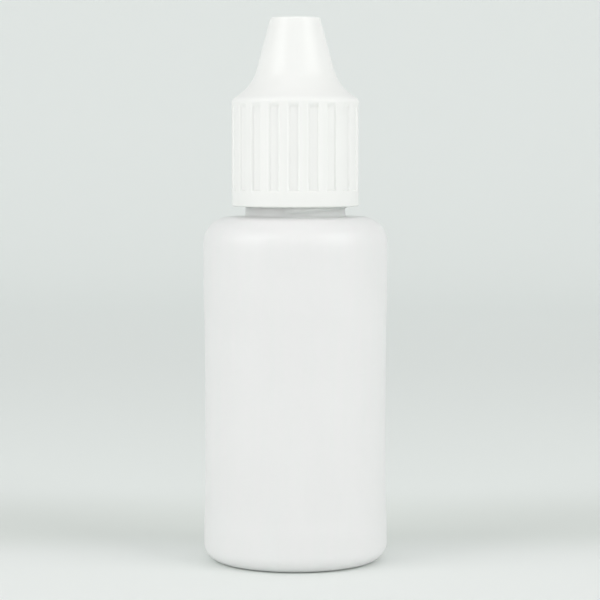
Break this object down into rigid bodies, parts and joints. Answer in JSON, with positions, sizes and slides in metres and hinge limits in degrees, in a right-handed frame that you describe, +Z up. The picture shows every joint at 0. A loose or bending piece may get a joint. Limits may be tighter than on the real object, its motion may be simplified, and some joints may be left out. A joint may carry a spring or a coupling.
{
  "type": "squeeze dropper bottle",
  "caption": "Translucent squeeze bottle with a plug-in dropper tip and a ribbed, spouted screw cap that unscrews and lifts off.",
  "frame": {"origin": "on the surface the bottle stands on, under the middle of its base", "axes": "+Z up along the axis of body, neck and cap; -Y is the front; +X is to the right seen from the front"},
  "size_m": [0.03, 0.03, 0.0884],
  "materials": {
    "bottle": "natural translucent low-density polyethylene, soft satin sheen",
    "dropper_tip": "natural translucent low-density polyethylene, smooth",
    "cap": "opaque white polypropylene, glossy spout and softer skirt"
  },
  "bodies": {
    "bottle": {"bottle": "bottle"},
    "dropper_tip": {"dropper_tip": "dropper_tip"},
    "cap": {"cap": "cap"}
  },
  "joints": [
    {"name": "cap_turn", "type": "hinge", "parent": "bottle", "child": "dropper_tip", "pos_m": [0, 0, 0.072], "axis": [0, 0, 1], "range_deg": [0, 3240]},
    {"name": "cap_rise", "type": "slide", "parent": "dropper_tip", "child": "cap", "axis": [0, 0, 1], "range_m": [0, 0.02867]}
  ],
  "couplings": [
    {"joint": "cap_rise", "follows": "cap_turn", "m_per_rad": 0.00050532}
  ]
}
